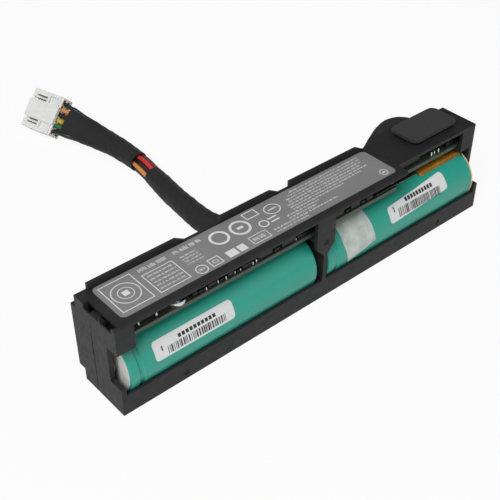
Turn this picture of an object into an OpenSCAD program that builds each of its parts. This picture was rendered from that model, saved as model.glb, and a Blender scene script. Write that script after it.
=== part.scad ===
// Backup battery module for a storage controller.
// A two-part moulded frame holds two round cells end to end. A circuit board lies on ledges above
// them, under a deck that carries the label and a rubber pad, and a taped cable ends in a connector.
// Local axes of the modules: X along the cells from the left end face, Y back from the front face,
// Z up from the surface that the module stands on. place() sets the origin under the middle.

/* [Cells] */
// Diameter of a cell over its wrap
cell_d = 18.4; // [17.6:0.1:19]
// Length of a cell over its raised end
cell_len = 64.8; // [60:0.1:70]
// Thickness of the shrink wrap
wrap_t = 0.2; // [0.1:0.05:0.4]
// Height of the raised positive end
cap_h = 0.8; // [0.6:0.1:1.2]
// Diameter of the raised positive end
cap_d = 5.8; // [5:0.1:8]
// Radius of the can's shoulders
shoulder = 0.6; // [0.3:0.05:0.8]
// Place of the rolled groove from the shoulder at the positive end
bead_at = 3.5; // [2.6:0.1:5]
// Width of the rolled groove
bead_w = 1.8; // [1:0.1:2.4]
// Depth of the rolled groove
bead_depth = 0.45; // [0.2:0.05:0.7]
// Diameter of the white disc on the left cell
disc_d = 17; // [14:0.1:17.2]
// Thickness of the insulating disc and ring
disc_t = 0.3; // [0.2:0.05:0.4]
// Inner diameter of the cream ring on the right cell
ring_hole_d = 12; // [9:0.1:14]

/* [Frame] */
// Set-back of the cells' bulge from the front face
cell_inset = 0.3; // [0.2:0.05:1]
// Height of the cells' lowest line
cell_lift = 0.8; // [0.7:0.05:2]
// Running clearance round a cell in its cradle
cell_fit = 0.15; // [0.1:0.05:0.3]
// Skin behind the cells
rear_skin = 0.85; // [0.7:0.05:1.5]
// Thickness of the end walls
end_wall = 1.5; // [1.2:0.1:2]
// Wall thickness of the floor, rail and rear wall
wall = 1.1; // [0.9:0.05:1.3]
// Thickness of the deck
deck_t = 1; // [0.8:0.05:1.4]
// Bevel along the deck's front edge
deck_bevel = 0.5; // [0.2:0.05:0.7]
// Room between the left end wall and the left cell
left_room = 1.1; // [0.9:0.1:2]
// Room between the left cell and the divider
link_room = 1.7; // [1:0.1:3]
// Thickness of the divider between the cells
divider_t = 1.4; // [1:0.1:1.5]
// Room between the divider and the right cell
divider_fit = 0.3; // [0.25:0.05:0.6]
// Room between the right cell and the right end wall
right_room = 0.9; // [0.7:0.1:2]
// Diameter of the hole in the divider
divider_hole = 11; // [9:0.5:13]
// Height of the divider above the cells' centre line
divider_rise = 8.6; // [7:0.1:9]
// Height of the front rail
rail_h = 6.2; // [4:0.1:6.6]
// Diameter of the ejector marks on the front
mark_d = 1.8; // [1:0.1:2.4]
// Depth of the foot of the rear wall
foot_d = 17.2; // [16.9:0.1:17.6]
// Height of the foot of the rear wall
foot_h = 3.8; // [2:0.1:3.9]
// Drop from the deck to the rear shelf
shelf_drop = 4; // [3:0.1:4.6]
// Depth from the front face to the deck's rear edge
deck_d = 17.5; // [17:0.1:18]
// Depth of the seam between the two halves
seam_y = 11.25; // [11.1:0.05:11.3]
// Gap between the two halves
seam_gap = 0.1; // [0.05:0.05:0.2]
// Width and depth of the groove along the seam
seam_groove = 0.3; // [0.2:0.05:0.5]

/* [Front openings] */
// Depth of the cut at the front of each end wall
window_d = 4.6; // [4.3:0.1:5.5]
// Lower edge of the cut in the end walls
window_z = 9; // [7:0.1:10]
// Height of the cut in the left end wall
window_h = 11.8; // [9:0.1:11.9]
// Length of the left corner block
block_l = 5.6; // [4:0.1:8]
// Height of the left corner block below the deck
block_h = 6.9; // [6.4:0.1:7]
// Thickness of the block, the post and the column
front_t = 1.2; // [1:0.1:1.3]
// Length of the mid post's wide head
post_l = 6.8; // [5:0.1:8]
// Share of the head that lies left of the divider's left face, in millimetres
post_left = 2.8; // [1.8:0.1:3.4]
// Height of the head below the deck
post_h = 9.5; // [8:0.1:10]
// Height of the tapered part below the head
post_taper = 3; // [1:0.1:3.2]
// Place of the step in the deck's front edge, from the right end face
step_x = 35.6; // [30:0.1:37]
// Set-back of the deck's front edge right of the step
step_d = 4.2; // [3:0.1:4.2]
// Length of the right column, over the end wall
column_l = 5.8; // [5:0.1:8]
// Height of the right column below the deck
column_h = 7; // [6.4:0.1:7]

/* [Ribs] */
// Height of the three ribs on the deck
rib_h = 1.95; // [1:0.05:3]
// Thickness of the ribs
rib_t = 1; // [0.6:0.05:1]
// Length of the ramp at each rib's right end
rib_ramp = 3.3; // [1:0.1:5]
// Place of the first rib
rib_1_x = 3.6; // [2:0.1:6]
// Length of the first rib
rib_1_l = 30.6; // [25:0.1:32]
// Place of the second rib
rib_2_x = 45.6; // [44:0.1:47]
// Length of the second rib
rib_2_l = 21.6; // [18:0.1:22]
// Place of the third rib
rib_3_x = 70.9; // [70:0.1:72]
// Length of the third rib
rib_3_l = 30.2; // [25:0.1:32]

/* [Latch pockets] */
// Depth of the recess in the left end wall's top, below the deck
latch_drop = 1.7; // [1:0.1:2]
// Length of the recess along the deck
latch_l = 1.7; // [1.2:0.1:2]
// Depth of the two latch pockets below the deck
pocket_h = 5.5; // [3:0.1:6]
// Width of the front pocket
pocket_1_w = 4.8; // [3:0.1:5]
// Width of the rear pocket
pocket_2_w = 2.1; // [1:0.1:2.5]
// Thickness of the small uprights beside the front pocket
upright_t = 0.4; // [0.3:0.05:0.7]
// Set-back of the recess from the front face
latch_y = 1.1; // [0.8:0.05:1.4]
// Skin between the pockets and the end face
pocket_skin = 0.4; // [0.3:0.05:0.6]

/* [Cable exit] */
// Place of the deck's rear ledge, from the right end face
ledge_x = 31; // [29:0.1:34]
// Length of the ledge
ledge_l = 12; // [10:0.1:12]
// Length of the notch that the cable leaves through
notch_l = 12; // [11.5:0.1:12]
// Height of the notch below the deck
notch_h = 6.4; // [6.2:0.1:7]
// Depth of the notch from the body's rear face
notch_d = 3.4; // [3.2:0.1:4]

/* [Circuit board] */
// Gap between the cells and the board
board_gap = 2.5; // [2.2:0.1:4]
// Thickness of the board
board_t = 1.2; // [0.8:0.1:1.6]
// Room between the board and the deck
board_room = 5.1; // [4.8:0.1:6]
// Set-back of the board's front edge
board_y = 2.7; // [1.6:0.1:3.6]
// Clearance between the board's rear edge and the rear wall
board_rear_fit = 0.4; // [0.2:0.05:0.5]
// Set-back of the board's front edge behind the right deck
board_step_y = 6.2; // [5.8:0.1:6.3]
// Place of the step in the board, from the right end face
board_step_x = 37; // [33.5:0.1:40]
// Radius of the spring contact on the board
clip_r = 3.4; // [2.4:0.1:3.6]
// Clearance between the board and the end walls
board_fit = 1.5; // [1.2:0.1:2]
// Thickness of the ledges under the board
ledge_t = 1; // [0.8:0.1:1.3]

/* [Labels and pad] */
// Thickness of the labels
label_t = 0.1; // [0.05:0.01:0.12]
// Gap between the deck label and the step in the deck
label_end = 2.2; // [1:0.1:4]
// Gap between the deck label and the ribs
label_gap = 0.2; // [0.1:0.05:1]
// Place of the deck label from the left end face
label_x = 4.1; // [2.5:0.1:5]
// Set-back of the deck label
label_y = 2.4; // [1:0.1:2.5]
// Corner radius of the deck label
label_r = 1.6; // [0.5:0.1:3]
// Length of a cell label
tag_l = 25.8; // [15:0.1:28]
// Height of a cell label round the cell, in degrees
tag_turn = 35; // [20:1:40]
// Corner radius of a cell label
tag_r = 1; // [0.4:0.1:2]
// Place of the left cell's label from that cell's end
tag_left_x = 8.7; // [7:0.1:30]
// Lower edge of the left cell's label, in degrees over the cell's middle
tag_left_turn = 8; // [0:1:20]
// Place of the right cell's label from that cell's end
tag_right_x = 26.9; // [25:0.1:34]
// Lower edge of the right cell's label, in degrees over the cell's middle
tag_right_turn = 16; // [6:1:20]
// Slant of the right cell's label, in degrees
tag_slant = 3; // [0:0.5:4]
// Width of the white tape
tape_w = 11.2; // [8:0.1:13]
// Place of the white tape from the right cell's end
tape_x = 7.4; // [5:0.1:12]
// Height of the tape's front corner below the cell's middle
tape_drop = 3; // [0:0.1:6]
// Length of the pad
pad_l = 19.9; // [18:0.1:20.5]
// Width of the pad
pad_w = 10.6; // [9:0.1:10.8]
// Thickness of the pad's cap
pad_cap_t = 1; // [0.6:0.1:2]
// Thickness of the pad's foam
pad_foam_t = 0.85; // [0.4:0.05:1.5]
// Inset of the foam under the cap
pad_inset = 0.8; // [0.3:0.1:2]
// Corner radius of the pad
pad_r = 2.2; // [1.2:0.1:4]

/* [Nickel strips] */
// Thickness of the nickel strips
tab_t = 0.2; // [0.1:0.02:0.22]
// Width of the nickel strips
tab_w = 5.8; // [4:0.1:7]
// Length of the film over the right strip
film_l = 19; // [10:0.1:24]
// Thickness of the film
film_t = 0.1; // [0.05:0.01:0.15]
// Length of the left strip that lies on the board
strip_reach = 2.5; // [1.5:0.1:3.5]

/* [Connector] */
// Width of the connector
plug_w = 14.4; // [14.2:0.1:16]
// Length of the connector along the mating direction
plug_l = 13; // [10:0.1:15]
// Thickness of the connector without its raised plate
plug_t = 5.2; // [5:0.1:5.6]
// Pitch of the contacts
plug_pitch = 2.25; // [2.1:0.01:2.25]
// Size of a contact cavity
cavity = 1.7; // [1.5:0.05:1.75]
// Size of a contact
contact = 1.3; // [0.8:0.05:1.4]
// Height of the raised plate
plate_h = 0.8; // [0.4:0.1:1.2]
// Width of the raised plate
plate_w = 6.6; // [5:0.1:7]

/* [Hidden] */
$fn = 64;
small = 24;      // facets of small round details
cut = 1;         // how far a cutting solid runs past the face that it cuts

// Cells: centre line, ends and cradle
cell_y = cell_inset + cell_d / 2;
cell_z = cell_lift + cell_d / 2;
left_x = end_wall + left_room;
left_end = left_x + cell_len;
divider_x = left_end + link_room;
right_x = divider_x + divider_t + divider_fit;
right_end = right_x + cell_len;
body_l = right_end + right_room + end_wall;
cradle_r = cell_d / 2 + cell_fit;
can_d = cell_d - 2 * wrap_t;

// Body: depth and heights from the cells, the board and the deck
body_d = cell_y + cradle_r + rear_skin;
board_z = cell_lift + cell_d + board_gap;
board_top = board_z + board_t;
room_top = board_top + board_room;
deck_z = room_top + deck_t;
shelf_z = deck_z - shelf_drop;
step_at = body_l - step_x;
ledge_at = body_l - ledge_x;
notch_at = ledge_at + ledge_l;
column_at = body_l - column_l;
board_step_at = body_l - board_step_x;
post_at = divider_x - post_left;
seam_z = room_top - column_h - seam_gap;
board_left = end_wall + board_fit;
board_right = body_l - end_wall - board_fit;
board_rear = deck_d - wall - board_rear_fit;
label_l = step_at - label_end - label_x;
label_w = deck_d - rib_t - label_gap - label_y;

// Pad over the cable exit, level with the ledge
pad_x = ledge_at + 6.2;
pad_y = 7.4;
pad_film_t = 0.15;

// Free cable: points from the notch to the connector's rear face, from the origin under the middle.
// Each has the half width, the half height and the roll of the section in degrees. The points are
// laid for a notch and a board at cord_from, and move along with them.
CORD = [
    [58.8, 5.4, 25.4, 3.4, 2, 0], [56.6, 8, 25.9, 3.4, 2.4, 0], [54.4, 11.1, 26.5, 3.1, 2.9, 0],
    [50.8, 13.5, 26.1, 3.1, 3.1, 0], [47.3, 13.8, 24.1, 3.1, 3.1, 0], [44.5, 13.9, 21.1, 3.1, 3.1, 0],
    [41.5, 13.9, 17.8, 3.1, 3.1, 0], [38, 14.1, 14.5, 3.1, 3.1, 0], [34.2, 14.3, 11.4, 3.1, 3.1, 0],
    [30, 14.7, 8.6, 3.1, 3.1, 0], [25.5, 15.3, 6.3, 3.1, 3.1, 0], [20.5, 16.3, 4.6, 3.1, 3.1, 0],
    [15, 17.9, 3.7, 3.1, 3.1, 0], [9.5, 20, 3.3, 3.2, 3.2, 0], [4, 22.8, 3.4, 3.3, 3.3, 0],
    [-0.5, 26.4, 3.6, 3.5, 3.5, 0], [-3.9, 30.8, 3.8, 3.7, 3.7, 0], [-5.6, 35.7, 4, 3.9, 3.9, 0],
    [-5.8, 41.2, 4, 3.9, 3.9, 0], [-5.4, 47, 3.9, 3.8, 3.8, 0], [-4.7, 53.2, 3.8, 3.7, 3.7, 0],
    [-3.9, 59.6, 3.7, 3.6, 3.6, 0], [-2.8, 66, 3.5, 3.4, 3.4, 0], [-1.9, 72.8, 3.5, 3.4, 3.4, 0],
    [-1.5, 79.6, 3.7, 3.6, 3.6, 5], [-1.6, 86.1, 3.8, 3.8, 3.5, 12], [-2.2, 92.2, 4, 4, 3.4, 20],
    [-3.4, 98.3, 4.2, 4.4, 3.2, 30], [-4.8, 103.8, 4.9, 4.9, 2.9, 37], [-6.4, 108.3, 5.7, 5.3, 2.6, 42],
    [-7.9, 111.8, 6.5, 5.8, 2.3, 45], [-9, 115, 7, 6.2, 2.1, 45]];
cord_from = [56, 10.2, 22.9];
cord_lift = 6;       // points over which a change of the board's height fades out
cord_sides = 12;
plug_turn = 16;      // heading of the mating direction, left of straight back
plug_roll = 45;      // the connector lies on its long edge, leaning by this angle
plug_columns = 6;

module place() translate([-body_l / 2, -cell_y, 0]) children();

// Box from two corners
module block(a, b) translate(a) cube(b - a);

// Solid with a profile in Y and Z, along X
module along_x(x, l) translate([x, 0, 0]) rotate([90, 0, 90]) linear_extrude(l) children();

// Solid with a profile in X and Z, along Y
module along_y(y, l) translate([0, y + l, 0]) rotate([90, 0, 0]) linear_extrude(l) children();

// Cylinder along X on the cells' centre line
module on_axis(x, l, d) translate([x, cell_y, cell_z]) rotate([0, 90, 0]) cylinder(d = d, h = l);

// Round solid with a profile in radius and length, along X on the cells' centre line
module turned(x) translate([x, cell_y, cell_z]) rotate([0, 90, 0]) rotate_extrude() children();

// Part ring round the cells' centre line, from the front up by turn degrees
module skin(x, l, from, turn, t) {
    translate([x, cell_y, cell_z]) rotate([0, 90, 0]) rotate([0, 0, -90 - from - turn])
        rotate_extrude(angle = turn) translate([cell_d / 2, 0]) square([t, l]);
}

// Plate with round corners
module round_plate(l, w, r, t) {
    translate([r, 0, 0]) cube([l - 2 * r, w, t]);
    translate([0, r, 0]) cube([l, w - 2 * r, t]);
    for (x = [r, l - r], y = [r, w - r]) translate([x, y, 0]) cylinder(r = r, h = t, $fn = 32);
}

// ---- Frame, both halves in one piece ----

module outer_profile() polygon([[0, 0], [foot_d, 0], [foot_d, foot_h], [body_d, foot_h],
    [body_d, shelf_z], [deck_d, shelf_z], [deck_d, deck_z], [deck_bevel, deck_z],
    [0, deck_z - deck_bevel]]);

module inner_profile() polygon([[wall, wall], [foot_d - wall, wall], [foot_d - wall, foot_h + wall],
    [body_d - rear_skin, foot_h + wall], [body_d - rear_skin, shelf_z - wall],
    [deck_d - wall, shelf_z - wall], [deck_d - wall, room_top], [-cut, room_top], [-cut, rail_h],
    [wall, rail_h]]);

module ledge_for_cable() block([ledge_at, deck_d - wall, shelf_z - wall], [notch_at, body_d, deck_z]);

module rib(x, l) along_y(deck_d - rib_t, rib_t) polygon([[x, deck_z - deck_t], [x, deck_z + rib_h],
    [x + l - rib_ramp, deck_z + rib_h], [x + l, deck_z], [x + l, deck_z - deck_t]]);

module post() along_y(0, front_t) polygon([[post_at, room_top + deck_t / 2],
    [post_at, room_top - post_h], [divider_x, room_top - post_h - post_taper],
    [divider_x, rail_h / 2], [divider_x + divider_t, rail_h / 2],
    [divider_x + divider_t, room_top - post_h - post_taper],
    [post_at + post_l, room_top - post_h], [post_at + post_l, room_top + deck_t / 2]]);

module divider() difference() {
    block([divider_x, front_t / 2, wall / 2],
        [divider_x + divider_t, body_d - rear_skin / 2, cell_z + divider_rise]);
    block([divider_x - cut, foot_d - wall / 2, -cut],
        [divider_x + divider_t + cut, body_d + cut, foot_h + wall / 2]);
    on_axis(divider_x - cut, divider_t + 2 * cut, divider_hole);
}

// Ledges that the board lies on: at the block, the post, the column and along the rear wall
module board_ledges() {
    low = board_z - ledge_t;
    block([end_wall / 2, 0, low], [block_l - 0.2, board_y + 1.6, board_z]);
    block([post_at, front_t / 2, low], [post_at + post_l, board_y + 1.4, board_z]);
    block([column_at, step_d, low], [body_l - end_wall / 2, board_step_y + 1.8, board_z]);
    for (x = [left_x + 15.4, left_end - 12.4, right_x + 21.2])
        block([x, board_rear - 1, low], [x + 6, body_d - rear_skin / 2, board_z]);
}

// Recess in the end wall's top with two deep pockets and two small uprights beside the front one
module latch_cuts() {
    low = deck_z - latch_drop;
    end = seam_y + pocket_2_w;
    mid = latch_y + upright_t + pocket_1_w;
    block([-cut, latch_y + upright_t, low], [latch_l, mid, deck_z + cut]);
    block([-cut, mid + upright_t, low], [latch_l, end, deck_z + cut]);
    block([upright_t, latch_y, low], [latch_l, end, deck_z + cut]);
    block([pocket_skin, latch_y + upright_t, deck_z - pocket_h], [latch_l, mid, deck_z]);
    block([pocket_skin, seam_y, deck_z - pocket_h], [latch_l, end, deck_z]);
}

module ejector_marks() {
    for (p = [[20, 2.3], [divider_x + divider_t / 2, room_top - post_h + 1.3], [body_l - 18.3, 2.3]])
        translate([p[0], 0, p[1]]) rotate([90, 0, 0])
            cylinder(d = mark_d, h = 0.5, center = true, $fn = small);
}

module frame_blank() difference() {
    union() {
        difference() {
            along_x(0, body_l) outer_profile();
            along_x(end_wall, body_l - 2 * end_wall) inner_profile();
            on_axis(end_wall, divider_x - end_wall, 2 * cradle_r);
            on_axis(divider_x + divider_t, body_l - end_wall - divider_x - divider_t, 2 * cradle_r);
        }
        ledge_for_cable();
        rib(rib_1_x, rib_1_l);
        rib(rib_2_x, rib_2_l);
        rib(rib_3_x, rib_3_l);
        post();
        divider();
        difference() {
            union() {
                block([0, 0, room_top - block_h], [block_l, front_t, deck_z - deck_bevel]);
                block([column_at, step_d, room_top - column_h], [body_l, step_d + front_t, deck_z]);
                board_ledges();
            }
            on_axis(0, body_l, 2 * cradle_r);
        }
    }
    // Front of the deck and end wall right of the step
    block([step_at, -cut, rail_h + 0.01], [body_l - end_wall, step_d, deck_z + cut]);
    block([body_l - end_wall - 0.01, -cut, window_z], [body_l + cut, step_d, deck_z + cut]);
    // Cut at the front of the left end wall
    block([-cut, -cut, window_z], [end_wall + 0.01, window_d, window_z + window_h]);
    // Room behind the ledge, the way through the rear wall and the notch for the cable
    block([ledge_at + wall, deck_d - wall - cut, board_top], [notch_at, body_d - wall, room_top]);
    block([notch_at - 0.01, deck_d - wall - 0.01, deck_z - notch_h],
        [notch_at + notch_l, body_d + cut, room_top]);
    block([notch_at - 0.01, body_d - notch_d, deck_z - notch_h],
        [notch_at + notch_l, body_d + cut, deck_z + cut]);
    // Slot at the rear right corner
    block([body_l - 1.9, 13.3, deck_z - 0.8], [body_l - 1.3, 15.2, deck_z + cut]);
    latch_cuts();
    ejector_marks();
    // Groove along the seam on the end faces and under the floor
    for (x = [-cut, body_l - seam_groove])
        block([x, seam_y - seam_groove / 2, -cut],
            [x + cut + seam_groove, seam_y + seam_groove / 2, room_top - column_h]);
    block([-cut, seam_y - seam_groove / 2, -cut], [body_l + cut, seam_y + seam_groove / 2, 0.2]);
}

// Space that the front half takes: left of the step all heights, right of it below the column
module front_space(gap) {
    block([-cut, -cut, -cut], [step_at - gap, seam_y - gap, deck_z + 10]);
    block([-cut, -cut, -cut], [body_l + cut, seam_y - gap, seam_z + seam_gap / 2 - gap]);
}

module frame_front() color([0.2, 0.2, 0.21]) place() intersection() {
    frame_blank();
    front_space(seam_gap / 2);
}

module frame_rear() color([0.18, 0.18, 0.19]) place() difference() {
    frame_blank();
    front_space(-seam_gap / 2);
}

// ---- Cells ----

// Side of a cell with its shoulders and the rolled groove: radius and place along a length
function side_line(r, l) = [[r - shoulder, 0], [r - 0.3 * shoulder, 0.3 * shoulder], [r, shoulder],
    [r, bead_at - bead_w / 2], [r - bead_depth, bead_at - bead_w / 5],
    [r - bead_depth, bead_at + bead_w / 5], [r, bead_at + bead_w / 2],
    [r, l - shoulder], [r - 0.3 * shoulder, l - 0.3 * shoulder], [r - shoulder, l]];

// Can with its raised end on the left
module can(x, l) {
    turned(x + cap_h) polygon(concat([[0, 0]], side_line(can_d / 2, l), [[0, l]]));
    on_axis(x, cap_h + cut, cap_d);
}

module cell_left_can() color([0.75, 0.76, 0.78]) place() can(left_x, cell_len - cap_h);

module cell_right_can() color([0.75, 0.76, 0.78]) place() can(right_x, cell_len - cap_h - disc_t);

// Shrink wrap that follows the can's side
module wrap(x, l) turned(x + cap_h) let (line = side_line(can_d / 2, l)) polygon(concat(
    side_line(cell_d / 2, l), [for (i = [len(line) - 1 : -1 : 0]) line[i]]));

module cell_left_wrap() color([0.16, 0.64, 0.54]) place() wrap(left_x, cell_len - cap_h);

module cell_right_wrap() color([0.2, 0.7, 0.62]) place() wrap(right_x, cell_len - cap_h - disc_t);

module cell_left_disc() color([0.92, 0.92, 0.9]) place() difference() {
    on_axis(left_x + cap_h - disc_t, disc_t, disc_d);
    on_axis(left_x, cell_len, cap_d + 0.4);
}

module cell_right_ring() color([0.9, 0.84, 0.7]) place() difference() {
    on_axis(right_end - disc_t, disc_t, cell_d);
    on_axis(right_end - cut, 2 * cut, ring_hole_d);
}

// ---- Nickel strips ----

strip_top = cell_lift + cell_d + 0.05 + tab_t;

// From the left cell's raised end up to the board's left edge
module tab_left() color([0.8, 0.79, 0.74]) place() {
    low = cell_z - 2.5;
    block([left_x - tab_t, cell_y - tab_w / 2, low], [left_x, cell_y + tab_w / 2, board_top + tab_t]);
    block([left_x - tab_t, cell_y - tab_w / 2, board_top],
        [board_left + strip_reach, cell_y + tab_w / 2, board_top + tab_t]);
}

// From the left cell's flat end over the divider to the right cell's raised end
module tab_middle() color([0.8, 0.79, 0.74]) place() {
    a = cell_y - tab_w / 2;
    b = cell_y + tab_w / 2;
    top = cell_z + divider_rise + 0.1;
    block([left_end, a, cell_z - 2.5], [left_end + tab_t, b, top + tab_t]);
    block([left_end, a, top], [right_x, b, top + tab_t]);
    block([right_x - tab_t, a, cell_z - 2.5], [right_x, b, top + tab_t]);
}

// From the right cell's flat end along the top of the cell to the board
module tab_right() color([0.8, 0.79, 0.74]) place() {
    a = cell_y - tab_w / 2;
    b = cell_y + tab_w / 2;
    rise = step_at + 1.5;
    block([right_end, a, cell_z - 2.5], [right_end + tab_t, b, strip_top]);
    block([rise, a, strip_top - tab_t], [right_end + tab_t, b, strip_top]);
    block([rise, a, strip_top - tab_t], [rise + tab_t, b, board_z]);
}

// Film over the right strip, down to the cell on both sides
module film_strip() color([0.72, 0.42, 0.05]) place() {
    a = tab_w / 2 + 0.2;
    top = strip_top + 0.02;
    foot = a + 0.6;
    low = cell_z + sqrt(pow(cell_d / 2 + 0.05, 2) - foot * foot);
    along_x(right_end - 1.2 - film_l, film_l) translate([cell_y, 0]) polygon([[-foot, low],
        [-a, top], [a, top], [foot, low], [foot + film_t, low], [a + film_t / 2, top + film_t],
        [-a - film_t / 2, top + film_t], [-foot - film_t, low]]);
}

// ---- Circuit board ----

module circuit_board() color([0.3, 0.38, 0.33]) place() difference() {
    block([board_left, board_y, board_z], [board_right, board_rear, board_top]);
    block([board_step_at, board_y - cut, board_z - cut],
        [board_right + cut, board_step_y, board_top + cut]);
}

// Row of black parts behind the board's front edge: place from the board's left end, length, height
ROW = [[22.6, 1.4, 1.2], [24.4, 2.1, 0.9], [27.6, 2.7, 1.3], [31.5, 1.4, 0.9], [34.1, 1.9, 1.4],
    [37.2, 0.8, 0.8], [39.1, 3, 1.3], [44.6, 5, 1.6], [50.2, 2.2, 1], [53, 5, 1.7], [58.7, 3.8, 1.2],
    [71, 2, 1], [73.6, 3, 1.5], [77.4, 1.4, 0.9], [79.4, 3.6, 1.6], [83.6, 1.6, 1], [85.8, 2.6, 1.3]];
row_y = 0.5;
row_d = 1.5;

// Black packages further back: place from the board's left end, set-back, length, depth and height
CHIPS = [[3.6, 2.8, 7, 5, 2.2], [12, 3, 3.6, 4, 1.8], [24.6, 2.6, 9, 6, 2.8], [35, 2.4, 7, 6, 3],
    [43.6, 2.5, 9, 7, 2.6], [54, 2.6, 9, 6, 3], [70.4, 2.4, 6, 5, 2.6], [78, 2.6, 9, 6, 2.9],
    [89.6, 0.4, 8.8, 0.7, 0.7], [105, 4.6, 8, 5, 1.8], [115, 6, 6, 4, 2.4], [125.4, 4.4, 4.4, 4, 1.6]];

module board_chips() color([0.08, 0.08, 0.09]) place() {
    for (c = ROW) translate([board_left + c[0], board_y + row_y, board_top]) cube([c[1], row_d, c[2]]);
    for (c = CHIPS) translate([board_left + c[0], board_y + c[1], board_top]) cube([c[2], c[3], c[4]]);
}

// Small two-ended parts along the rear edge, and a pair of tall round ones
module board_parts() color([0.35, 0.3, 0.24]) place() {
    pitch = (board_right - board_left) / 26.4;
    for (i = [0 : 17]) translate([board_left + 6 + pitch * i, board_rear - 2.2, board_top])
        cube([2, 1.2, 0.8]);
    for (x = [board_left + 18.6, divider_x + 2.2]) translate([x, board_rear - 4.6, board_top])
        cylinder(d = 4, h = 3.2, $fn = small);
}

// Solder cones: place from the board's left end, set-back, diameter and height
JOINTS = [[6.4, 1.5, 1, 0.8], [11.8, 1.5, 1.1, 0.8], [27, 0.6, 0.6, 1], [30.9, 0.7, 0.6, 1.1],
    [33.5, 0.6, 0.6, 1], [36.6, 0.7, 0.5, 1], [38.5, 0.7, 0.5, 0.9], [42.7, 0.6, 0.6, 1],
    [44, 0.7, 0.6, 1.1], [58.3, 0.6, 0.4, 0.8], [66.4, 0.8, 0.7, 0.8], [91.7, 1.8, 1.2, 1.3],
    [94.3, 1.8, 1.2, 1.3], [96.9, 1.8, 1.2, 1.3], [118.4, 4.4, 0.8, 1.4], [119.9, 4.5, 0.7, 1.2],
    [121.6, 4.4, 0.8, 1.4]];

module solder_joints() color([0.85, 0.86, 0.88]) place()
    for (j = JOINTS) translate([board_left + j[0], board_y + j[1], board_top])
        cylinder(d1 = j[2], d2 = j[2] / 2, h = j[3], $fn = small);

// Spring contact at the board's front edge: two upright arcs on a foot
module spring_clip() color([0.8, 0.8, 0.78]) place()
    translate([board_left + 18.7, board_y + clip_r, board_top]) intersection() {
        union() {
            cylinder(r = clip_r, h = 0.3, $fn = 48);
            arc_wall(clip_r, 1.1);
            arc_wall(clip_r - 1.2, 2.1);
        }
        translate([-clip_r - cut, -clip_r - cut, -cut]) cube([2 * clip_r + 2 * cut, clip_r + 0.5, 4]);
    }

module arc_wall(r, h) difference() {
    cylinder(r = r, h = h, $fn = 48);
    translate([0, 0, 0.3]) cylinder(r = r - 0.3, h = h, $fn = 48);
}

// Tails of the cable's leads, soldered in two layers by the notch
module lead_tails() color([0.75, 0.25, 0.15]) translate(cord_point(0))
    rotate([0, 0, cord_heading()]) for (i = [-1.5 : 1.5], k = [-1, 1])
        translate([-2.6, 1.7 * i, 0.86 * k]) rotate([0, 90, 0]) cylinder(d = 1.6, h = 2.6, $fn = small);

// ---- Labels, tape and pad ----

module top_label() color([0.55, 0.55, 0.54]) place()
    translate([label_x, label_y, deck_z]) round_plate(label_l, label_w, label_r, label_t);

// Label with round corners on the front of a cell: place, lower edge in degrees, slant
module tag(x, from, slant) {
    low = cell_d / 2 * sin(from);
    high = cell_d / 2 * sin(from + tag_turn);
    intersection() {
        skin(x - 2, tag_l + 4, from - 8, tag_turn + 16, label_t);
        translate([x + tag_l / 2, cell_y, cell_z + (low + high) / 2]) rotate([0, -slant, 0])
            rotate([90, 0, 0]) translate([-tag_l / 2, (low - high) / 2, 0])
            round_plate(tag_l, high - low, tag_r, cell_y + cut);
    }
}

module cell_label_left() color([0.95, 0.95, 0.95]) place()
    tag(left_x + tag_left_x, tag_left_turn, 0);

module cell_label_right() color([0.95, 0.95, 0.95]) place()
    tag(right_x + tag_right_x, tag_right_turn, tag_slant);

// White tape from under the board down the front of the right cell, cut off at a slant
module cell_tape() color([0.88, 0.88, 0.86]) place() intersection() {
    a = right_x + tape_x;
    top = cell_z + cell_d / 2 + 1;
    skin(a - 1, tape_w + 4, -24, 100, label_t);
    along_y(-cut, cell_y) polygon([[a, top], [a, cell_z + tape_drop + 1], [a + 1.8, cell_z - tape_drop],
        [a + tape_w + 1.6, cell_z], [a + tape_w, top]]);
}

module pad_film() color([0.15, 0.15, 0.16]) place()
    translate([pad_x, pad_y, deck_z]) round_plate(pad_l, pad_w, pad_r, pad_film_t);

module pad_foam() color([0.05, 0.05, 0.05]) place()
    translate([pad_x + pad_inset, pad_y + pad_inset, deck_z + pad_film_t])
        round_plate(pad_l - 2 * pad_inset, pad_w - 2 * pad_inset, pad_r - pad_inset / 2, pad_foam_t);

module pad_cap() color([0.19, 0.19, 0.19]) place()
    translate([pad_x, pad_y, deck_z + pad_film_t + pad_foam_t])
        round_plate(pad_l, pad_w, pad_r, pad_cap_t);

// ---- Cable ----

function cord_shift(i) = [notch_at + notch_l / 2 - body_l / 2 - cord_from[0],
    body_d - cell_y - cord_from[1], (board_top - cord_from[2]) * max(0, 1 - i / cord_lift)];
function cord_point(i) = [CORD[i][0], CORD[i][1], CORD[i][2]] + cord_shift(i);
function cord_heading() = atan2(CORD[1][1] - CORD[0][1], CORD[1][0] - CORD[0][0]);
function unit(v) = v / norm(v);
last = len(CORD) - 1;

// Direction of the cable at a point: level at the notch and square to the connector at its end
function cord_way(i) = i == 0 ? [cos(cord_heading()), sin(cord_heading()), 0]
    : i == last ? [-sin(plug_turn), cos(plug_turn), 0]
    : unit(cord_point(i + 1) - cord_point(i - 1));

// Ring of points round the cable at a point: an ellipse, rolled about the cable's direction
function cord_ring(i) = let (
        way = cord_way(i),
        side = unit(cross(way, [0, 0, 1])),
        up = cross(side, way),
        roll = CORD[i][5],
        wide = side * cos(roll) + up * sin(roll),
        high = up * cos(roll) - side * sin(roll))
    [for (k = [0 : cord_sides - 1]) let (a = 360 * k / cord_sides)
        cord_point(i) + wide * CORD[i][3] * cos(a) + high * CORD[i][4] * sin(a)];

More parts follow.
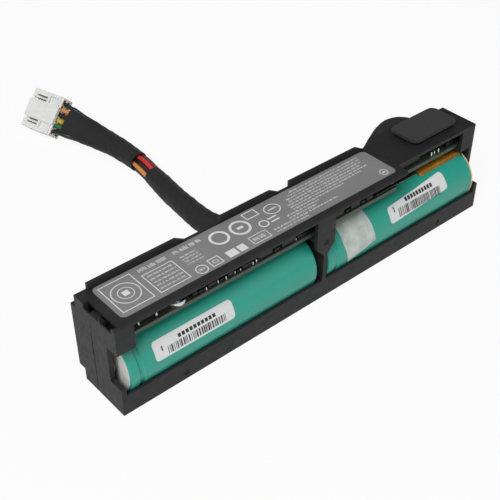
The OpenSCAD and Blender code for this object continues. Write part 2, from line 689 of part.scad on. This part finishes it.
module harness_cord() color([0.1, 0.1, 0.1]) polyhedron(
    points = [for (i = [0 : last]) each cord_ring(i)],
    faces = concat(
        [[for (k = [0 : cord_sides - 1]) k]],
        [[for (k = [0 : cord_sides - 1]) last * cord_sides + cord_sides - 1 - k]],
        [for (i = [0 : last - 1], k = [0 : cord_sides - 1]) let (n = (k + 1) % cord_sides)
            [i * cord_sides + k, (i + 1) * cord_sides + k, (i + 1) * cord_sides + n, i * cord_sides + n]]));

// ---- Connector ----

// Connector axes: X along the row, Y the mating direction from the rear face, Z out of the top face
module at_plug() translate(cord_point(last)) rotate([0, 0, plug_turn]) rotate([0, -plug_roll, 0])
    children();

module each_cavity() for (c = [0 : plug_columns - 1], r = [-1, 1])
    translate([(c - (plug_columns - 1) / 2) * plug_pitch, 0, r * plug_t / 4]) children();

// Pocket of the latch beside the plate, with a tongue along its middle and a slot to the mating end
module latch_pocket() {
    x = plate_w / 2 + 0.25;
    y = plug_l * 0.5;
    l = plug_l * 0.36;
    difference() {
        block([x, y, plug_t / 2 - 1], [x + 1.8, y + l, plug_t]);
        block([x + 0.6, y - cut, 0], [x + 1.2, y + l + cut, plug_t / 2 + plate_h - 0.5]);
    }
    block([x, y + l - 0.1, plug_t / 2 - 0.4], [x + 0.5, plug_l + cut, plug_t]);
}

// Trough beside the plate at the wires' end
module latch_trough() block([plate_w / 2 + 0.2, plug_l * 0.12, plug_t / 2 - 0.3],
    [plug_w / 2 - 1.2, plug_l * 0.42, plug_t]);

module connector_housing() color([0.95, 0.95, 0.93]) at_plug() difference() {
    union() {
        block([-plug_w / 2, 0, -plug_t / 2], [plug_w / 2, plug_l, plug_t / 2]);
        // Raised top, and the latch's plate that reaches past the mating end
        block([-plug_w / 2, plug_l * 0.06, 0], [plug_w / 2, plug_l, plug_t / 2 + plate_h - 0.25]);
        block([-plate_w / 2, 0, 0], [plate_w / 2, plug_l + 0.4, plug_t / 2 + plate_h]);
    }
    each_cavity() block([-cavity / 2, -cut, -cavity / 2], [cavity / 2, plug_l + 2 * cut, cavity / 2]);
    for (s = [0, 1]) mirror([s, 0, 0]) {
        latch_pocket();
        latch_trough();
    }
}

module connector_contacts() color([0.85, 0.75, 0.45]) at_plug() each_cavity()
    translate([-contact / 2, 1, -cavity / 2]) cube([contact, plug_l - 3, contact]);

frame_front();
frame_rear();
cell_left_can();
cell_right_can();
cell_left_wrap();
cell_right_wrap();
cell_left_disc();
cell_right_ring();
tab_left();
tab_middle();
tab_right();
film_strip();
circuit_board();
board_chips();
board_parts();
solder_joints();
spring_clip();
top_label();
cell_label_left();
cell_label_right();
cell_tape();
pad_film();
pad_foam();
pad_cap();
lead_tails();
harness_cord();
connector_housing();
connector_contacts();
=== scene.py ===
import math
import random

import bpy
import numpy as np
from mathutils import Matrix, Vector


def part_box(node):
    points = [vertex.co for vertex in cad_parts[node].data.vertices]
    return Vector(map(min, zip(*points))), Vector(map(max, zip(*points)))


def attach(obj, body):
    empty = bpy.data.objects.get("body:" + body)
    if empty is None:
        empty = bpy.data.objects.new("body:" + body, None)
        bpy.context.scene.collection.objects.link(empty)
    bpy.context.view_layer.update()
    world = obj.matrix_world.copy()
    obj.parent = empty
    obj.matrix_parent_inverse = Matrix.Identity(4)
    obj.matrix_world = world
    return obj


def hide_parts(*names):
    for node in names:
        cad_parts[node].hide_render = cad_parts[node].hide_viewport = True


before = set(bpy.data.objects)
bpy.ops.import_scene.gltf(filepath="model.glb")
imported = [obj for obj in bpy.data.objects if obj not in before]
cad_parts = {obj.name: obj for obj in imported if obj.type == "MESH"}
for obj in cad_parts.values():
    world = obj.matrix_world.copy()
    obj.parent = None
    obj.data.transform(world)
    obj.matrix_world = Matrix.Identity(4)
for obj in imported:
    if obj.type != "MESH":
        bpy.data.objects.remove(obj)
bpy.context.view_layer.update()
rng = random.Random(7)
MM = 0.001
# Corner of the body's left front foot, from which lengths on the object are counted
X0, Y0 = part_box("frame_front")[0][:2]


# ---------------------------------------------------------------- camera and cord

cam_data = bpy.data.cameras.new("camera")
cam = bpy.data.objects.new("camera", cam_data)
bpy.context.scene.collection.objects.link(cam)
cam_data.lens, cam_data.sensor_width = 68.17, 36.0
cam_data.clip_start = 0.01
cam.location = (-0.149737, -0.151439, 0.181772)
cam.rotation_mode = "QUATERNION"
cam.rotation_quaternion = Vector((0.51042, 0.59097, -0.62468)).to_track_quat("-Z", "Y")
bpy.context.scene.camera = cam

# The cable's route: place, half width, half height and roll of its section, in millimetres
CORD = [
    (58.8, 5.4, 25.4, 3.4, 2, 0), (56.6, 8, 25.9, 3.4, 2.4, 0), (54.4, 11.1, 26.5, 3.1, 2.9, 0),
    (50.8, 13.5, 26.1, 3.1, 3.1, 0), (47.3, 13.8, 24.1, 3.1, 3.1, 0), (44.5, 13.9, 21.1, 3.1, 3.1, 0),
    (41.5, 13.9, 17.8, 3.1, 3.1, 0), (38, 14.1, 14.5, 3.1, 3.1, 0), (34.2, 14.3, 11.4, 3.1, 3.1, 0),
    (30, 14.7, 8.6, 3.1, 3.1, 0), (25.5, 15.3, 6.3, 3.1, 3.1, 0), (20.5, 16.3, 4.6, 3.1, 3.1, 0),
    (15, 17.9, 3.7, 3.1, 3.1, 0), (9.5, 20, 3.3, 3.2, 3.2, 0), (4, 22.8, 3.4, 3.3, 3.3, 0),
    (-0.5, 26.4, 3.6, 3.5, 3.5, 0), (-3.9, 30.8, 3.8, 3.7, 3.7, 0), (-5.6, 35.7, 4, 3.9, 3.9, 0),
    (-5.8, 41.2, 4, 3.9, 3.9, 0), (-5.4, 47, 3.9, 3.8, 3.8, 0), (-4.7, 53.2, 3.8, 3.7, 3.7, 0),
    (-3.9, 59.6, 3.7, 3.6, 3.6, 0), (-2.8, 66, 3.5, 3.4, 3.4, 0), (-1.9, 72.8, 3.5, 3.4, 3.4, 0),
    (-1.5, 79.6, 3.7, 3.6, 3.6, 5), (-1.6, 86.1, 3.8, 3.8, 3.5, 12), (-2.2, 92.2, 4, 4, 3.4, 20),
    (-3.4, 98.3, 4.2, 4.4, 3.2, 30), (-4.8, 103.8, 4.9, 4.9, 2.9, 37), (-6.4, 108.3, 5.7, 5.3, 2.6, 42),
    (-7.9, 111.8, 6.5, 5.8, 2.3, 45), (-9, 115, 7, 6.2, 2.1, 45),
]
PLUG_TURN, PLUG_ROLL = math.radians(16), math.radians(45)


def spline(rows, per=8):
    """Catmull-Rom through the rows, with per steps between two of them."""
    a = np.array(rows, float)
    a = np.vstack([2 * a[0] - a[1], a, 2 * a[-1] - a[-2]])
    out = []
    for i in range(1, len(a) - 2):
        for k in range(per):
            t = k / per
            p0, p1, p2, p3 = a[i - 1], a[i], a[i + 1], a[i + 2]
            out.append(0.5 * (2 * p1 + (p2 - p0) * t + (2 * p0 - 5 * p1 + 4 * p2 - p3) * t * t
                              + (3 * p1 - p0 - 3 * p2 + p3) * t ** 3))
    out.append(a[-2])
    return np.array(out)


def unit(v):
    return v / np.linalg.norm(v)


PER = 12
FINE = spline(CORD, PER)
MID = FINE[:, :3] * MM
WAYS = np.gradient(MID, axis=0)
WAYS = np.array([unit(w) for w in WAYS])
WAYS[-1] = (-math.sin(PLUG_TURN), math.cos(PLUG_TURN), 0)
SIDES = np.array([unit(np.cross(w, (0, 0, 1))) for w in WAYS])
UPS = np.array([np.cross(s, w) for s, w in zip(SIDES, WAYS)])
RUN = np.concatenate([[0], np.cumsum(np.linalg.norm(np.diff(MID, axis=0), axis=1))])


def at(i):
    """Sample of the fine route at CORD's point i, which may lie between two."""
    return int(round(i * PER))


# ---------------------------------------------------------------- materials

def new_material(name):
    m = bpy.data.materials.new(name)
    m.use_nodes = True
    nt = m.node_tree
    return m, nt, nt.nodes["Principled BSDF"]


def node(nt, kind, **values):
    """Shader node with values for its inputs, or for its settings where no input has the name."""
    n = nt.nodes.new(kind)
    for k, v in values.items():
        if k in n.inputs:
            n.inputs[k].default_value = v
        else:
            setattr(n, k, v)
    return n


def noise(nt, scale, detail=3.0, stretch=(1, 1, 1)):
    tc = node(nt, "ShaderNodeTexCoord")
    mp = node(nt, "ShaderNodeMapping")
    mp.inputs["Scale"].default_value = stretch
    nt.links.new(tc.outputs["Object"], mp.inputs["Vector"])
    n = node(nt, "ShaderNodeTexNoise", Scale=scale, Detail=detail, Roughness=0.55)
    nt.links.new(mp.outputs["Vector"], n.inputs["Vector"])
    return n.outputs["Fac"]


def mix_colour(nt, fac, a, b):
    m = node(nt, "ShaderNodeMix", data_type="RGBA")
    m.inputs["A"].default_value = (*a, 1)
    m.inputs["B"].default_value = (*b, 1)
    nt.links.new(fac, m.inputs["Factor"])
    return m.outputs["Result"]


def span(nt, value, low, high, to_low=0.0, to_high=1.0):
    """Maps low..high to to_low..to_high, cut off at both ends."""
    r = node(nt, "ShaderNodeMapRange")
    for k, v in (("From Min", low), ("From Max", high), ("To Min", to_low), ("To Max", to_high)):
        r.inputs[k].default_value = v
    nt.links.new(value, r.inputs["Value"])
    return r.outputs["Result"]


def material(name, col, rough=0.5, vary=0.12, scale=400, bump=0.0, bump_scale=3000, rvary=0.08,
             metallic=0.0, spec=0.5, stretch=(1, 1, 1), coat=0.0, distance=2e-5, tint=None,
             sheen=0.0, subsurface=0.0):
    """Plain surface with soft colour variation, uneven gloss and a fine bump."""
    m, nt, p = new_material(name)
    p.inputs["Metallic"].default_value = metallic
    p.inputs["Specular IOR Level"].default_value = spec
    p.inputs["Coat Weight"].default_value = coat
    p.inputs["Coat Roughness"].default_value = 0.25
    p.inputs["Sheen Weight"].default_value = sheen
    p.inputs["Subsurface Weight"].default_value = subsurface
    p.inputs["Subsurface Scale"].default_value = 0.001
    low = tuple(c * (1 - vary) for c in (tint or col))
    high = tuple(min(1.0, c * (1 + vary)) for c in col)
    f = span(nt, noise(nt, scale, stretch=stretch), 0.3, 0.7)
    nt.links.new(mix_colour(nt, f, low, high), p.inputs["Base Color"])
    g = span(nt, noise(nt, scale * 2.3, stretch=stretch), 0.3, 0.7, rough - rvary, rough + rvary)
    nt.links.new(g, p.inputs["Roughness"])
    if bump:
        b = node(nt, "ShaderNodeBump", Strength=bump, Distance=distance)
        nt.links.new(noise(nt, bump_scale, 4.0, stretch=stretch), b.inputs["Height"])
        nt.links.new(b.outputs["Normal"], p.inputs["Normal"])
    return m


def weave(name, col, pitch, rough=0.85, depth=6e-5, crest_highlight=1.6):
    """Cloth tape: two crossed sets of fine threads, uneven in tone, with a painted highlight on the
    threads' crests.
    Crest_highlight is how much lighter the crests are painted than their ground."""
    m, nt, p = new_material(name)
    tc = node(nt, "ShaderNodeTexCoord")
    total = None
    for turn in (0.6, -0.9):
        mp = node(nt, "ShaderNodeMapping")
        mp.inputs["Rotation"].default_value = (0.3, 0.2, turn)
        nt.links.new(tc.outputs["Object"], mp.inputs["Vector"])
        w = node(nt, "ShaderNodeTexWave", Scale=0.314 / pitch, Distortion=2.5, Detail=2.0)
        w.inputs["Detail Scale"].default_value = 1.5
        nt.links.new(mp.outputs["Vector"], w.inputs["Vector"])
        if total is None:
            total = w.outputs["Fac"]
        else:
            mx = node(nt, "ShaderNodeMath", operation="MAXIMUM")
            nt.links.new(total, mx.inputs[0])
            nt.links.new(w.outputs["Fac"], mx.inputs[1])
            total = mx.outputs[0]
    patch = node(nt, "ShaderNodeMath", operation="MULTIPLY")
    nt.links.new(total, patch.inputs[0])
    nt.links.new(span(nt, noise(nt, 350), 0.3, 0.75, 0.35, 1.0), patch.inputs[1])
    # Painted highlight: the threads' crests are coloured lighter than the ground between them
    nt.links.new(mix_colour(nt, patch.outputs[0], col, tuple(c * crest_highlight for c in col)),
                 p.inputs["Base Color"])
    nt.links.new(span(nt, patch.outputs[0], 0, 1, rough, rough - 0.15), p.inputs["Roughness"])
    p.inputs["Sheen Weight"].default_value = 0.06
    p.inputs["Sheen Roughness"].default_value = 0.5
    b = node(nt, "ShaderNodeBump", Strength=0.8, Distance=depth)
    nt.links.new(total, b.inputs["Height"])
    nt.links.new(b.outputs["Normal"], p.inputs["Normal"])
    return m


BLACK = material("frame_plastic", (0.021, 0.021, 0.0215), 0.5, 0.14, 260, 0.5, 5200, 0.06, spec=0.3)
BLACK_TOP = material("frame_plastic_rear", (0.018, 0.018, 0.0185), 0.5, 0.14, 260, 0.5, 5200, 0.06,
                     spec=0.3)
STEEL = material("can_steel", (0.55, 0.56, 0.58), 0.35, 0.1, 500, 0.3, 4000, metallic=1.0,
                 stretch=(0.2, 1, 1))
GREEN = material("wrap_film", (0.018, 0.36, 0.27), 0.36, 0.05, 60, 0.35, 900, 0.05, spec=0.5,
                 coat=0.25, distance=6e-5)
DISC = material("disc_card", (0.72, 0.72, 0.69), 0.6, 0.08, 700, 0.3, 4000)
CREAM = material("ring_card", (0.72, 0.62, 0.4), 0.6, 0.1, 700, 0.3, 4000)
NICKEL = material("nickel_strip", (0.62, 0.6, 0.54), 0.32, 0.1, 900, 0.3, 5000, metallic=1.0,
                  stretch=(0.1, 1, 1))
AMBER = material("film_amber", (0.34, 0.14, 0.006), 0.22, 0.25, 300, 0.3, 900, coat=0.6,
                 distance=5e-5)
BOARD = material("board_edge", (0.055, 0.085, 0.062), 0.45, 0.2, 900, 0.3, 4000,
                 tint=(0.08, 0.09, 0.06))
CHIP = material("chip_epoxy", (0.012, 0.012, 0.013), 0.42, 0.2, 1500, 0.4, 7000)
BROWN = material("part_ceramic", (0.1, 0.075, 0.05), 0.4, 0.3, 1200, 0.2, 5000)
SOLDER = material("solder", (0.78, 0.79, 0.8), 0.22, 0.06, 900, 0.2, 3000, metallic=1.0)
LABEL = material("label_grey", (0.235, 0.235, 0.237), 0.42, 0.05, 90, 0.15, 2500, 0.05)
PRINT = material("print_white", (0.78, 0.78, 0.78), 0.5, 0.06, 900, 0.1, 3000)
WHITE = material("label_white", (0.78, 0.78, 0.785), 0.42, 0.03, 200, 0.15, 2500, 0.05)
INK = material("print_black", (0.02, 0.02, 0.021), 0.5, 0.2, 900, 0.1, 3000)
TAPE = material("tape_white", (0.62, 0.64, 0.62), 0.38, 0.09, 260, 0.5, 700, 0.1,
                tint=(0.42, 0.52, 0.47), distance=8e-5)
FOAM = material("pad_foam", (0.008, 0.008, 0.008), 0.9, 0.3, 1500, 0.9, 2500, distance=8e-5)
FILM = material("pad_film", (0.02, 0.02, 0.021), 0.4, 0.15, 500, 0.2, 3000)
RUBBER = material("pad_rubber", (0.028, 0.028, 0.029), 0.62, 0.22, 1800, 0.8, 6500, 0.08,
                  distance=4e-5, sheen=0.1)
CLOTH = weave("cord_cloth", (0.007, 0.007, 0.008), 0.00035)
NYLON = material("connector_nylon", (0.8, 0.8, 0.78), 0.32, 0.03, 300, 0.15, 3000,
                 subsurface=0.1)
TIN = material("contact_plate", (0.6, 0.55, 0.4), 0.3, 0.1, 900, 0.2, 4000, metallic=1.0)
WIRE = {k: material("wire_" + k, c, 0.36, 0.07, 300, 0.12, 2500, 0.05, coat=0.2) for k, c in {
    "black": (0.012, 0.012, 0.013), "red": (0.62, 0.035, 0.025), "yellow": (0.6, 0.4, 0.02),
    "green": (0.02, 0.16, 0.055), "brown": (0.17, 0.04, 0.03), "amber": (0.72, 0.27, 0.06)}.items()}


# ---------------------------------------------------------------- mesh helpers

def piece(name, verts, faces, mats, face_mats=None, smooth=True):
    me = bpy.data.meshes.new(name)
    me.from_pydata([tuple(v) for v in verts], [], faces)
    o = bpy.data.objects.new(name, me)
    bpy.context.scene.collection.objects.link(o)
    for m in mats if isinstance(mats, (list, tuple)) else [mats]:
        me.materials.append(m)
    if face_mats is not None:
        for p, k in zip(me.polygons, face_mats):
            p.material_index = k
    for p in me.polygons:
        p.use_smooth = smooth
    me.validate()
    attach(o, "root")
    return o


class Build:
    """Collects verts and faces of one piece, with a material index for each face."""

    def __init__(self):
        self.v, self.f, self.m = [], [], []

    def grid(self, rows, close_v=False, mat=0, flip=False):
        base, nu, nv = len(self.v), len(rows), len(rows[0])
        for r in rows:
            self.v.extend(tuple(p) for p in r)
        for i in range(nu - 1):
            for j in range(nv if close_v else nv - 1):
                a, b = base + i * nv + j, base + i * nv + (j + 1) % nv
                c, d = base + (i + 1) * nv + (j + 1) % nv, base + (i + 1) * nv + j
                self.f.append((a, d, c, b) if flip else (a, b, c, d))
                self.m.append(mat)

    def fan(self, ring, centre, mat=0, flip=False):
        base = len(self.v)
        self.v.extend(tuple(p) for p in ring)
        self.v.append(tuple(centre))
        n = len(ring)
        for i in range(n):
            t = (base + i, base + (i + 1) % n, base + n)
            self.f.append(t[::-1] if flip else t)
            self.m.append(mat)

    def piece(self, name, mats, slot=None, smooth=True):
        return piece(name, self.v, self.f, mats, self.m, smooth)


def bevel(o, width, segments=2):
    b = o.modifiers.new("edge", "BEVEL")
    b.width, b.segments, b.limit_method = width, segments, "ANGLE"
    b.angle_limit = math.radians(35)
    return o


def dress(name, mat):
    """Gives a CAD node its material."""
    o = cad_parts[name]
    o.data.materials.clear()
    o.data.materials.append(mat)
    return o


# ---------------------------------------------------------------- the cable

def ring(i, count):
    """Section of the taped cable at fine sample i."""
    a, b, roll = FINE[i, 3] * MM, FINE[i, 4] * MM, math.radians(FINE[i, 5])
    wide = SIDES[i] * math.cos(roll) + UPS[i] * math.sin(roll)
    high = UPS[i] * math.cos(roll) - SIDES[i] * math.sin(roll)
    out = []
    for k in range(count):
        t = 2 * math.pi * k / count
        s = 1 + tape_swell(RUN[i], t)
        out.append(MID[i] + wide * a * math.cos(t) * s + high * b * math.sin(t) * s)
    return out


def tape_swell(run, t):
    """Overlaps of the wound cloth tape, and its slight unevenness."""
    turn = (run / 0.016 + t / (2 * math.pi)) % 1
    lap = 0.035 * (1 - turn) ** 3 + 0.012 * math.sin(9 * turn * math.pi)
    return lap - 0.035 + 0.014 * math.sin(2 * t + run * 230) + 0.01 * math.sin(3 * t - run * 410)


def sleeve(b, i0, i1, count=36):
    """Taped stretch between two fine samples, with a rim and a shallow hollow at each end."""
    rim, depth = 0.86, 0.0012
    b.grid([ring(i, count) for i in range(i0, i1 + 1)], close_v=True, flip=True)
    for i, end in ((i0, 1), (i1, -1)):
        outer = ring(i, count)
        inner = [MID[i] + (np.array(p) - MID[i]) * rim for p in outer]
        deep = [p + WAYS[i] * end * depth for p in inner]
        b.grid([outer, inner], close_v=True, flip=end < 0)
        b.fan(deep, MID[i] + WAYS[i] * end * depth, flip=end > 0)
        b.grid([inner, deep], close_v=True, flip=end < 0)


b = Build()
sleeve(b, at(1.75), at(22.3))
sleeve(b, at(23.75), at(30.2))

# Leads inside it: their places in the section, from the exit to the connector. GAP_E1 runs across
# the view of the gap between the two sleeves, GAP_E2 towards the viewer.
GAP_E1, GAP_E2 = np.array((0.83, 0.55)), np.array((-0.55, 0.83))
LEADS = [  # colour, place at the exit, place in the gap (across, towards the viewer), column, row
    ("black", (-1.5, 1), (-0.35, 1.0), 0, 1), ("amber", (-0.5, 1), (-1.65, 0.8), 1, 1),
    ("black", (0.5, 1), (-2.35, -0.55), 2, 1), ("yellow", (1.5, 1), (0.1, -1.0), 3, 1),
    ("green", (-1.5, -1), (-1.1, -1.7), 4, 1), ("black", (-0.5, -1), (0.9, -2.2), 5, 1),
    ("brown", (0.5, -1), (2.35, -0.1), 5, -1), ("red", (1.5, -1), (1.25, 1.15), 1, -1),
]
COLUMN, ROW = 2.07, 0.975  # from wire to wire at the connector, along its row and across it
LEAD_R, AMBER_R, LEAD_SIDES = 0.8, 0.78, 12
colours = [None] + sorted(WIRE)
for name, start, gap, col, row in LEADS:
    p_gap = GAP_E1 * gap[0] + GAP_E2 * gap[1]
    c, s = math.cos(PLUG_ROLL), math.sin(PLUG_ROLL)
    x, y = (2.5 - col) * COLUMN, row * ROW
    p_end = np.array((x * c - y * s, x * s + y * c))
    p_start = np.array(start)
    keys = [(0, p_start * (1.7, 0.86)), (2, p_start * (1.5, 0.8)), (4, p_gap * 0.75),
            (21.6, p_gap * 0.8), (22.6, p_gap), (23.4, p_gap * 1.02 + GAP_E1 * 0.15),
            (24.4, p_gap * 0.85), (28, p_end * 0.75), (30, p_end * 0.93), (31, p_end)]
    r = (AMBER_R if name == "amber" else LEAD_R) * MM
    rows = []
    for i in range(len(MID)):
        u = i / PER
        j = max(0, min(len(keys) - 2, sum(u >= q[0] for q in keys) - 1))
        f = (u - keys[j][0]) / (keys[j + 1][0] - keys[j][0])
        f = f * f * (3 - 2 * f)
        off = keys[j][1] * (1 - f) + keys[j + 1][1] * f
        mid = MID[i] + (SIDES[i] * off[0] + UPS[i] * off[1]) * MM
        rows.append([mid + (SIDES[i] * math.cos(t) + UPS[i] * math.sin(t)) * r
                     for t in np.linspace(0, 2 * math.pi, LEAD_SIDES, endpoint=False)])
    b.grid(rows, close_v=True, mat=colours.index(name), flip=True)
    b.fan(rows[-1], sum(rows[-1]) / LEAD_SIDES, mat=colours.index(name), flip=True)
    b.fan(rows[0], sum(rows[0]) / LEAD_SIDES, mat=colours.index(name))
cable = b.piece("cable", [CLOTH] + [WIRE[c] for c in colours[1:]], "cord_tape")
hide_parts("harness_cord")


# ---------------------------------------------------------------- CAD nodes with better materials

bevel(dress("frame_front", BLACK), 0.00012)
bevel(dress("frame_rear", BLACK_TOP), 0.00012)
for n, m in (("cell_left_can", STEEL), ("cell_right_can", STEEL), ("cell_left_disc", DISC),
             ("cell_right_ring", CREAM), ("tab_left", NICKEL), ("tab_middle", NICKEL),
             ("tab_right", NICKEL), ("film_strip", AMBER), ("circuit_board", BOARD),
             ("solder_joints", SOLDER), ("spring_clip", SOLDER), ("top_label", LABEL),
             ("cell_label_left", WHITE), ("cell_label_right", WHITE), ("cell_tape", TAPE),
             ("cell_left_wrap", GREEN), ("cell_right_wrap", GREEN),
             ("pad_film", FILM), ("pad_foam", FOAM), ("pad_cap", RUBBER),
             ("connector_housing", NYLON), ("connector_contacts", TIN), ("board_chips", CHIP),
             ("board_parts", BROWN), ("lead_tails", WIRE["red"])):
    dress(n, m)
bevel(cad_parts["connector_housing"], 0.00018)
bevel(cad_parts["pad_cap"], 0.0003, 3)
for n in ("cell_left_wrap", "cell_right_wrap"):
    bevel(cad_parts[n], 0.00008)


# ---------------------------------------------------------------- print on the deck label

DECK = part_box("top_label")[1][2]
HAIR = 0.00002  # height of print over its label


class Sheet(Build):
    """Flat print on the deck, in millimetres from the body's left front corner."""

    def quad(self, x0, y0, x1, y1):
        """Filled rectangle."""
        z = DECK + HAIR
        base = len(self.v)
        for x, y in ((x0, y0), (x1, y0), (x1, y1), (x0, y1)):
            self.v.append((X0 + x * MM, Y0 + y * MM, z))
        self.f.append((base, base + 1, base + 2, base + 3))
        self.m.append(0)

    def ring(self, x, y, r, w, sides=40, squash=1.0):
        """Circle of line width w, or an ellipse where it is squashed."""
        z = DECK + HAIR
        rows = [[(X0 + (x + q * math.cos(t)) * MM, Y0 + (y + q * squash * math.sin(t)) * MM, z)
                 for t in np.linspace(0, 2 * math.pi, sides, endpoint=False)] for q in (r - w, r)]
        self.grid(rows, close_v=True, flip=True)

    def frame(self, x0, y0, x1, y1, w):
        self.quad(x0, y0, x1, y0 + w)
        self.quad(x0, y1 - w, x1, y1)
        self.quad(x0, y0 + w, x0 + w, y1 - w)
        self.quad(x1 - w, y0 + w, x1, y1 - w)

    def line(self, x0, x1, y, h, low=0.5, high=1.7, gap=0.3):
        """Row of marks that stand for words, low to high long, each of uneven upright strokes."""
        x = x0
        while x < x1:
            e = min(x1, x + rng.uniform(low, high))
            k = x
            while k < e:  # strokes of one word
                s = rng.uniform(0.12, 0.2)
                lift = rng.choice((0, 0, 0.18, 0.3)) * h
                foot = lift if rng.random() < 0.5 else 0
                drop = 0 if rng.random() < 0.6 else lift
                self.quad(k, y + foot, min(e, k + s), y + h - drop)
                k += s + rng.uniform(0.07, 0.13)
            self.quad(x, y + h * 0.42, e, y + h * 0.58)
            x = e + gap


s = Sheet()
s.frame(5.4, 3.9, 14.9, 15.2, 0.28)
s.ring(10.1, 9.6, 3.9, 0.28)
s.ring(10.1, 9.6, 2.2, 0.22)
s.quad(9.2, 8.7, 11.0, 10.5)
s.frame(16.6, 3.9, 26.1, 12.4, 0.28)
for k in range(5):
    s.line(17.5, 25.4, 5.0 + 1.42 * k, 0.62)
s.line(17.0, 25.6, 13.6, 1.3, 1.8, 3.0, 0.6)
s.ring(29.8, 4.5, 1.75, 0.3)
s.line(28.9, 30.8, 4.1, 0.8)
s.frame(32.6, 3.2, 36.2, 6.4, 0.3)
s.frame(33.6, 4.2, 35.2, 5.4, 0.2)
for k in range(4):
    s.line(28.3, 33.4, 8.0 + 1.15 * k, 0.55)
s.line(28.0, 36.8, 13.6, 1.3, 1.4, 2.6, 0.6)
s.quad(38.2, 3.3, 41.4, 5.9)
s.quad(42.0, 3.3, 44.4, 5.9)
s.frame(46.6, 3.3, 52.6, 6.6, 0.24)
s.line(47.4, 51.8, 4.2, 1.4, 1.2, 1.8, 0.4)
s.ring(41.2, 11.6, 2.9, 0.75)
s.ring(48.2, 11.4, 3.1, 0.75)
s.quad(47.2, 10.9, 49.2, 11.9)
s.ring(54.2, 8.6, 1.5, 0.4)
s.quad(56.2, 7.6, 59.2, 8.1)
s.quad(56.2, 9.1, 59.2, 9.6)
s.frame(51.8, 12.6, 56.2, 15.6, 0.34)
s.ring(60.3, 12.2, 2.6, 0.34, squash=0.85)
s.quad(58.9, 12.0, 61.7, 12.4)
for k, (a, e) in enumerate(((54.5, 66), (54.5, 78), (61, 71), (61.2, 73), (64.5, 84), (64.5, 92),
                            (64.5, 95.5), (66, 94), (66, 95.5), (67.5, 96), (69, 96))):
    s.line(a, e, 3.3 + 1.13 * k, 0.6)
s.ring(96.6, 4.5, 1.35, 0.26)
s.quad(96.1, 4.2, 97.1, 4.8)
s.piece("label_print", PRINT, "label_white", smooth=False)


# ---------------------------------------------------------------- bars on the cell labels

def cell_print(name, node_name, seed):
    """Bars, a row of blocks over them and one mark at the left, on a cell's label."""
    lo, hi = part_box(node_name)
    r = random.Random(seed)
    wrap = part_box("cell_left_wrap")
    cy, cz = (wrap[0][1] + wrap[1][1]) / 2, (wrap[0][2] + wrap[1][2]) / 2
    rad = (wrap[1][2] - wrap[0][2]) / 2 + 0.0001 + HAIR
    a0 = math.asin((lo[2] - cz) / rad)
    a1 = math.asin((hi[2] - cz) / rad)
    b = Build()

    def patch(x0, x1, v0, v1):
        rows = []
        for k in range(5):
            t = a0 + (a1 - a0) * (v0 + (v1 - v0) * k / 4)
            rows.append([(x, cy - rad * math.cos(t), cz + rad * math.sin(t)) for x in (x0, x1)])
        b.grid(rows, flip=True)

    x = lo[0] + 0.0040
    while x < hi[0] - 0.0032:
        w = r.choice((0.00016, 0.00022, 0.00034, 0.00045))
        patch(x, x + w, 0.12, 0.5)
        x += w + r.choice((0.00016, 0.00024, 0.0004))
    x = lo[0] + 0.0078
    while x < hi[0] - 0.0062:
        patch(x, x + 0.0009, 0.6, 0.78)
        x += 0.00125
    patch(lo[0] + 0.0022, lo[0] + 0.0026, 0.42, 0.66)
    b.piece(name, INK, "chip_black", smooth=True)


cell_print("cell_print_left", "cell_label_left", 3)
cell_print("cell_print_right", "cell_label_right", 5)


# ---------------------------------------------------------------- studio

def stage_mesh(name, verts, faces, mat):
    me = bpy.data.meshes.new(name)
    me.from_pydata(verts, [], faces)
    o = bpy.data.objects.new(name, me)
    me.materials.append(mat)
    bpy.context.scene.collection.objects.link(o)
    return o


# The floor glows a little for the camera alone, so that it shows nearly white
GLOW = 0.9
WORLD_LIGHT, WORLD_SEEN = 0.14, 1.0
m, nt, p = new_material("floor_white")
p.inputs["Base Color"].default_value = (0.9, 0.9, 0.9, 1)
p.inputs["Roughness"].default_value = 0.9
p.inputs["Specular IOR Level"].default_value = 0.1
lp = node(nt, "ShaderNodeLightPath")
em = node(nt, "ShaderNodeEmission", Color=(1, 1, 1, 1), Strength=1.0)
mx = node(nt, "ShaderNodeMixShader")
k = node(nt, "ShaderNodeMath", operation="MULTIPLY")
k.inputs[1].default_value = GLOW
nt.links.new(lp.outputs["Is Camera Ray"], k.inputs[0])
nt.links.new(k.outputs[0], mx.inputs[0])
nt.links.new(p.outputs[0], mx.inputs[1])
nt.links.new(em.outputs[0], mx.inputs[2])
nt.links.new(mx.outputs[0], nt.nodes["Material Output"].inputs["Surface"])
stage_mesh("floor", [(-3, -3, 0), (3, -3, 0), (3, 3, 0), (-3, 3, 0)], [(0, 1, 2, 3)], m)

world = bpy.data.worlds.new("studio")
bpy.context.scene.world = world
world.use_nodes = True
nt = world.node_tree
bg = nt.nodes["Background"]
bg.inputs["Color"].default_value = (1, 1, 1, 1)
lp = node(nt, "ShaderNodeLightPath")
nt.links.new(span(nt, lp.outputs["Is Camera Ray"], 0, 1, WORLD_LIGHT, WORLD_SEEN),
             bg.inputs["Strength"])


def lamp(name, place, target, size, power):
    d = bpy.data.lights.new(name, "AREA")
    d.shape, d.size, d.energy = "SQUARE", size, power
    o = bpy.data.objects.new(name, d)
    bpy.context.scene.collection.objects.link(o)
    o.location = place
    o.rotation_mode = "QUATERNION"
    o.rotation_quaternion = (Vector(target) - Vector(place)).to_track_quat("-Z", "Y")


lamp("key", (-0.62, -0.3, 0.9), (0, 0, 0), 0.6, 10)
lamp("fill", (0.3, -0.9, 0.5), (0, 0, 0), 0.8, 1.8)
lamp("back", (0.2, 0.9, 0.8), (0, 0.05, 0), 0.8, 0.9)

bpy.context.scene.view_settings.view_transform = "Standard"
